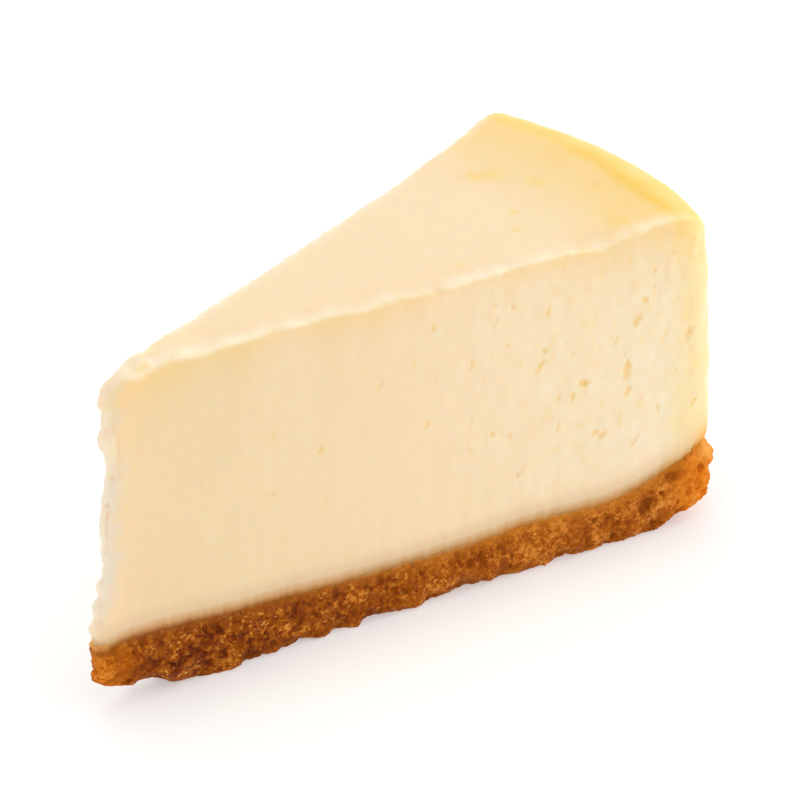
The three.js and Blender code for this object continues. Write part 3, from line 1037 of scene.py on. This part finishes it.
# %% [markdown]
# The knife drags butter and crumbs a little way up into the filling, and smears the top of the
# crumbs smooth. So both pieces take the same colours next to the seam, from cream through tan to
# brown, and no line shows where one ends. The colours depend on the height above the seam, which
# the smears make a little ragged. Next to the wall they are more golden and lighter, partly as a
# painted glow where the side light falls on the corner.

# %% The stain above the seam
RAGGED = 0.8  # the smears move the stain up and down by this much
VEIL, GOLDEN_VEIL = "#e2c49c", "#f5c26c"
TAN, GOLDEN_TAN = "#cf9a60", "#f09e36"
DRAGGED, GOLDEN_DRAGGED = "#9c5412", "#c87a22"


def height_above_seam(tree, smears):
    stored = add(tree, "Attribute", {}, "Fac", attribute_name="seam")
    lowest = -SEAM_LEVEL * SEAM_SPAN - RAGGED / 2
    level = add(tree, "Math", {0: stored, 1: SEAM_SPAN, 2: lowest}, operation="MULTIPLY_ADD")
    return add(tree, "Math", {0: smears, 1: RAGGED, 2: level}, operation="MULTIPLY_ADD")


def stain_colours(tree, at_wall, golden_and_painted_light):
    veil = add(tree, "Mix", {"Factor": at_wall, "A": VEIL, "B": GOLDEN_VEIL}, data_type="RGBA")
    tan = add(tree, "Mix", {"Factor": at_wall, "A": TAN, "B": GOLDEN_TAN}, data_type="RGBA")
    dragged = add(tree, "Mix", {"Factor": golden_and_painted_light, "A": DRAGGED, "B": GOLDEN_DRAGGED}, data_type="RGBA")
    return veil, tan, dragged


height = height_above_seam(custard, smears)
at_wall = add(custard, "Attribute", {}, "Fac", attribute_name="wall_skin_and_glow")
golden_and_painted_light = add(custard, "Attribute", {}, "Fac", attribute_name="golden_and_painted_light")
veil, tan, dragged = stain_colours(custard, at_wall, golden_and_painted_light)
dragged = add(custard, "Mix", {"Factor": at_wall, "A": dragged, "B": GOLDEN_TAN}, data_type="RGBA")

# %% [markdown]
# The skin that faced the oven is yellower, and the crest of the rim is lightly browned. Each layer
# of colour is mixed over the one before it, by an attribute of the mesh or by a pattern. The table
# gives what it depends on, where it starts, where it is full, its colour and how strong it is.

# %% Lay colours over each other
def lay(tree, ground, layers):
    for source, start, full, colour, strength in layers:
        if isinstance(source, str):
            source = add(tree, "Attribute", {}, "Fac", attribute_name=source)
        factor = add(tree, "MapRange", {
            "Value": source, "From Min": start, "From Max": full, "To Max": strength,
        })
        ground = add(tree, "Mix", {"Factor": factor, "A": ground, "B": colour}, data_type="RGBA")
    return ground


# %% The colours of the filling
FILLING_LAYERS = (
    # the along layers are partly painted light: lighter towards the wall, where more light falls
    ("along", 0.05, 0.45, "#f6dcb6", 1.0), ("along", 0.45, 0.95, "#f8e4c3", 1.0),
    (pale, 0, 1, "#fcecce", 0.5), (deep, 0, 1, "#f6d48e", 0.45), (smears, 0.5, 0.8, "#fbe9cd", 0.12),
    ("skin", 0, 1, "#efcf86", 0.65), ("top", 0, 1, "#f1d9b1", 0.95), ("warm", 0, 1, "#f3cf82", 0.5),
    ("spots", 0, 1, "#f0cf7a", 0.75), ("rim", 0, 1, "#efd262", 0.85), ("browned", 0, 1, "#f0c44c", 0.9),
    # the wall layer is partly baked skin and partly painted glow; the bead layer is partly a painted
    # highlight
    ("torn", 0, 1, "#e2d8c6", 0.95), ("wall_skin_and_glow", 0, 1, "#fbdd98", 0.6), ("bead", 0, 1, "#f8ead0", 0.85),
    # the pit layer is painted shade
    ("pit", 0, 1, "#f3ce78", 0.7), (height, 6.5, 2.0, "#eed6ae", 0.6), (height, 4.2, 1.0, veil, 0.9),
    (height, 1.6, 0, tan, 1.0), (height, 0.2, -0.8, dragged, 1.0),
)
cream = add(custard, "Mix", {"Factor": clouds, "A": "#ecd5a8", "B": "#f0d9ae"}, data_type="RGBA")
cream = lay(custard, cream, FILLING_LAYERS)
print("the filling has", len(FILLING_LAYERS), "layers of colour")

# %% [markdown]
# Pores, curds and smears are too small for the mesh, so they are a bump, no deeper than 0.3 mm. The
# surface is moist but not wet, which is a middling roughness with few highlights. Light comes out
# again up to a few millimetres away, red the furthest, which is what makes the cut look creamy.

# %% The relief and the shader of the filling
pores = add(custard, "TexNoise", {"Vector": drawn, "Scale": 1 / (PORE * MM), "Detail": 2.0})
relief = add(custard, "Math", {0: pores, 1: 0.35, 2: mottle}, operation="MULTIPLY_ADD")
relief = add(custard, "Math", {0: smears, 1: 0.25, 2: relief}, operation="MULTIPLY_ADD")
bump = add(custard, "Bump", {"Strength": 0.35, "Distance": 0.3 * MM, "Height": relief})
shader = add(custard, "BsdfPrincipled", {
    "Base Color": cream, "Roughness": 0.48, "IOR": 1.42, "Specular IOR Level": 0.25, "Normal": bump,
    "Subsurface Weight": 0.8, "Subsurface Radius": (1.0, 0.62, 0.34), "Subsurface Scale": 2.6 * MM,
})
add(custard, "OutputMaterial", {"Surface": shader})
print("the filling's material has", len(custard.nodes), "nodes")

# %% [markdown]
# Biscuit crumbs pressed with melted butter are matt and grainy, with small greasy glints that are
# painted highlights. Each crumb baked a little differently, so each has its own tone, and whole
# patches are darker or lighter. These add up to one number, which a colour ramp turns to brown.
# Hollows between crumbs get painted shade, dark and reddish. Towards the tin the crumbs are more
# golden and also carry a painted glow, most of all at the top of the lip.

# %% The tones of the crumbs
GRAIN = 0.6
PATCH = 4.3
CELL = 0.45
GRIT = 0.24  # real grit is finer still, and would not show
TONE_START = -0.21  # brings the sum of the tones below to the middle of the ramp
CRUMB_RAMP = ((0.0, "#561c00"), (0.3, "#7a3200"), (0.55, "#964a04"), (0.78, "#b06210"), (1.0, "#d98a34"))
biscuit = new_tree(base, "buttered_biscuit_crumbs")
place = add(biscuit, "TexCoord", {}, "Object")
upright = add(biscuit, "Mapping", {"Vector": place, "Scale": (1, 1, 0.07)})
grains = add(biscuit, "TexNoise", {
    "Vector": place, "Scale": 1 / (GRAIN * MM), "Detail": 3.0, "Roughness": 0.7,
})
patches = add(biscuit, "TexNoise", {"Vector": place, "Scale": 1 / (PATCH * MM), "Detail": 1.5})
cells = add(biscuit, "TexVoronoi", {"Vector": place, "Scale": 1 / (CELL * MM)}, "Color")
cell = add(biscuit, "SeparateColor", {"Color": cells})
smears = add(biscuit, "TexNoise", {"Vector": upright, "Scale": 1 / (SMEAR * MM), "Detail": 2.0})
tone, golden_and_painted_light, toasted_and_painted_glow = [
    add(biscuit, "Attribute", {}, "Fac", attribute_name=name) for name in ("tone", "golden_and_painted_light", "toasted_and_painted_glow")
]
# golden and toasted lighten the tone towards the ends, partly as painted light
TONE_WEIGHTS = (
    (tone, 0.35), (grains, 0.95), (patches, 0.85), (cell, 0.18), (golden_and_painted_light, 0.24), (toasted_and_painted_glow, 0.15),
)
mixed = TONE_START
for part, weight in TONE_WEIGHTS:
    mixed = add(biscuit, "Math", {0: part, 1: weight, 2: mixed}, operation="MULTIPLY_ADD")
light = add(biscuit, "MapRange", {"Value": mixed, "From Min": 0.69, "From Max": 1.38})
brown = add(biscuit, "ValToRGB", {"Fac": light})
ramp = brown.node.color_ramp
for _ in CRUMB_RAMP[2:]:
    ramp.elements.new(0.5)
for element, (position, colour) in zip(ramp.elements, CRUMB_RAMP):
    element.position = position
    element.color = linear(colour)
print("the crumbs have", len(CRUMB_RAMP), "tones, from", CRUMB_RAMP[0][1], "to", CRUMB_RAMP[-1][1])

# %% [markdown]
# Over the tones lie the same kind of layers as on the filling. Glints are painted highlights: the few
# brightest cells of a Voronoi pattern, and only in the paler patches, as sugar and butter gather there.
# Next to the seam come the stain's own colours, in the opposite order, so that both pieces meet in one
# colour.

# %% The colours of the crumb base
height = height_above_seam(biscuit, smears)
veil, tan, dragged = stain_colours(biscuit, toasted_and_painted_glow, golden_and_painted_light)
# painted highlights: small light specks, only in the paler patches
painted_glint = add(biscuit, "MapRange", {"Value": cell, "From Min": 0.9, "From Max": 0.97})
clustered = add(biscuit, "MapRange", {"Value": patches, "From Min": 0.42, "From Max": 0.6})
painted_glint = add(biscuit, "Math", {0: painted_glint, 1: clustered}, operation="MULTIPLY")
BASE_LAYERS = (
    # painted shade in the hollows; the golden and toasted layers are partly painted glow
    ("painted_hollow_shade", 0, 1, "#611f00", 0.7), (golden_and_painted_light, 0, 1, "#c86c0c", 0.25), (toasted_and_painted_glow, 0, 1, "#f28808", 0.75),
    # the foot layer is painted light from the table, and the glint layer painted highlights
    ("painted_foot_light", 0, 1, "#c4700f", 0.2), (painted_glint, 0, 1, "#eba54c", 0.6), (height, -2.6, -0.7, dragged, 0.85),
    # the lip layer is golden crumb and painted glow
    ("lip", 0, 1, "#f5b050", 0.65), (height, -0.8, 0.2, tan, 1.0), (height, 0.2, 1.6, veil, 0.9),
)
brown = lay(biscuit, brown, BASE_LAYERS)
print("the crumb base has", len(BASE_LAYERS), "layers of colour")

# %% [markdown]
# Grit and grains are a bump, like the filling's pores, but stronger. Butter gathers in the lows of
# the grains, so the roughness is lower there. A little light goes into the crumbs and keeps them
# warm, and they hardly shine.

# %% The relief and the shader of the crumb base
grit = add(biscuit, "TexNoise", {"Vector": place, "Scale": 1 / (GRIT * MM), "Detail": 2.0})
relief = add(biscuit, "Math", {0: grit, 1: 0.4, 2: grains}, operation="MULTIPLY_ADD")
bump = add(biscuit, "Bump", {"Strength": 0.6, "Distance": 0.3 * MM, "Height": relief})
greasy = add(biscuit, "MapRange", {
    "Value": grains, "From Min": 0.3, "From Max": 0.7, "To Min": 0.36, "To Max": 0.66,
})
shader = add(biscuit, "BsdfPrincipled", {
    "Base Color": brown, "Roughness": greasy, "IOR": 1.47, "Specular IOR Level": 0.08, "Normal": bump,
    "Subsurface Weight": 0.25, "Subsurface Radius": (1.0, 0.4, 0.12), "Subsurface Scale": 1.1 * MM,
})
add(biscuit, "OutputMaterial", {"Surface": shader})
print("the crumb base's material has", len(biscuit.nodes), "nodes")

# %% [markdown]
# The slice is shown as for a menu photograph, on a pale table in an even white surround. Such tables
# are often milky acrylic lit from below, so ours glows a little, which keeps the shadow faint.

# %% The table
TABLE_SIZE = 4  # metres, so that its edge is never seen
CLOUDING = 250
bpy.ops.object.select_all(action="DESELECT")
bpy.ops.mesh.primitive_plane_add(size=TABLE_SIZE, location=(0, 0, cad_box[0][2]))
table = bpy.context.object
table.name = "pale_table"
paint = new_tree(table, "white_table_top")
place = add(paint, "TexCoord", {}, "Object")
faint = add(paint, "TexNoise", {"Vector": place, "Scale": 1 / (CLOUDING * MM)})
white = add(paint, "Mix", {"Factor": faint, "A": "#d4d4d4", "B": "#d8d8d8"}, data_type="RGBA")
shader = add(paint, "BsdfPrincipled", {
    "Base Color": white, "Roughness": 0.8, "Emission Color": "#ffffff", "Emission Strength": 0.36,
})
add(paint, "OutputMaterial", {"Surface": shader})
table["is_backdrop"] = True
print("the table stands at z =", round(cad_box[0][2] / MM, 1), "mm")

# %% [markdown]
# The camera looks at the near cut and the top together, from above and to the side of the tip. A
# long lens from half a metre away keeps the slice's edges nearly parallel. It is aimed at a point
# half way up the slice's middle, and then moved a little across and up to frame the whole slice.

# %% The camera
LENS = 150
AZIMUTH, ELEVATION = math.radians(-43.2), math.radians(29.4)
DISTANCE, ACROSS, UP, AIM_HEIGHT = 553.8, 4.3, 3.74, 30
back = Vector((
    math.sin(AZIMUTH) * math.cos(ELEVATION),
    -math.cos(AZIMUTH) * math.cos(ELEVATION),
    math.sin(ELEVATION),
))
right = Vector((math.cos(AZIMUTH), math.sin(AZIMUTH), 0))
target = Vector((0, 0, AIM_HEIGHT)) + ACROSS * right + UP * back.cross(right)
eye = (target + DISTANCE * back) * MM
bpy.ops.object.camera_add(location=eye, rotation=back.to_track_quat("Z", "Y").to_euler())
camera = bpy.context.object
camera.data.lens = LENS
bpy.context.scene.camera = camera
print("the camera stands at", [round(side, 3) for side in eye], "m")

# %% [markdown]
# The main light is soft and comes from above. One more at each side makes both ends brighter than
# the cut, and the white surround fills the shadows. The Standard view shows white as pure white.

# %% The light
def softbox(name, place, size, watts):
    towards = -Vector(place)
    turn = towards.to_track_quat("-Z", "Y").to_euler()
    bpy.ops.object.light_add(type="AREA", location=place, rotation=turn)
    lamp = bpy.context.object
    lamp.name = name
    lamp.data.shape = "DISK"
    lamp.data.size = size
    lamp.data.energy = watts


softbox("top_light", (0.1, 0.15, 0.6), 0.6, 0.5)
softbox("right_light", (0.5, -0.2, 0.2), 0.4, 0.8)
softbox("left_light", (-0.5, 0.2, 0.2), 0.3, 0.25)
world = bpy.data.worlds.new("white_studio")
bpy.context.scene.world = world
world.use_nodes = True
background = world.node_tree.nodes["Background"]
background.inputs["Color"].default_value = (1, 1, 1, 1)
background.inputs["Strength"].default_value = 0.9
bpy.context.scene.view_settings.view_transform = "Standard"

# %% [markdown]
# Last we measure the box that all the pieces take up, and write it down. The pieces must keep to
# the box of the solids that they dress, to well within a millimetre.

# %% Measure the sizes and finish
seen_box = [list(corner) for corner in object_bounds()]
for label, low, high in zip("xyz", *seen_box):
    print(label, "from", round(low / MM, 2), "to", round(high / MM, 2), "mm")
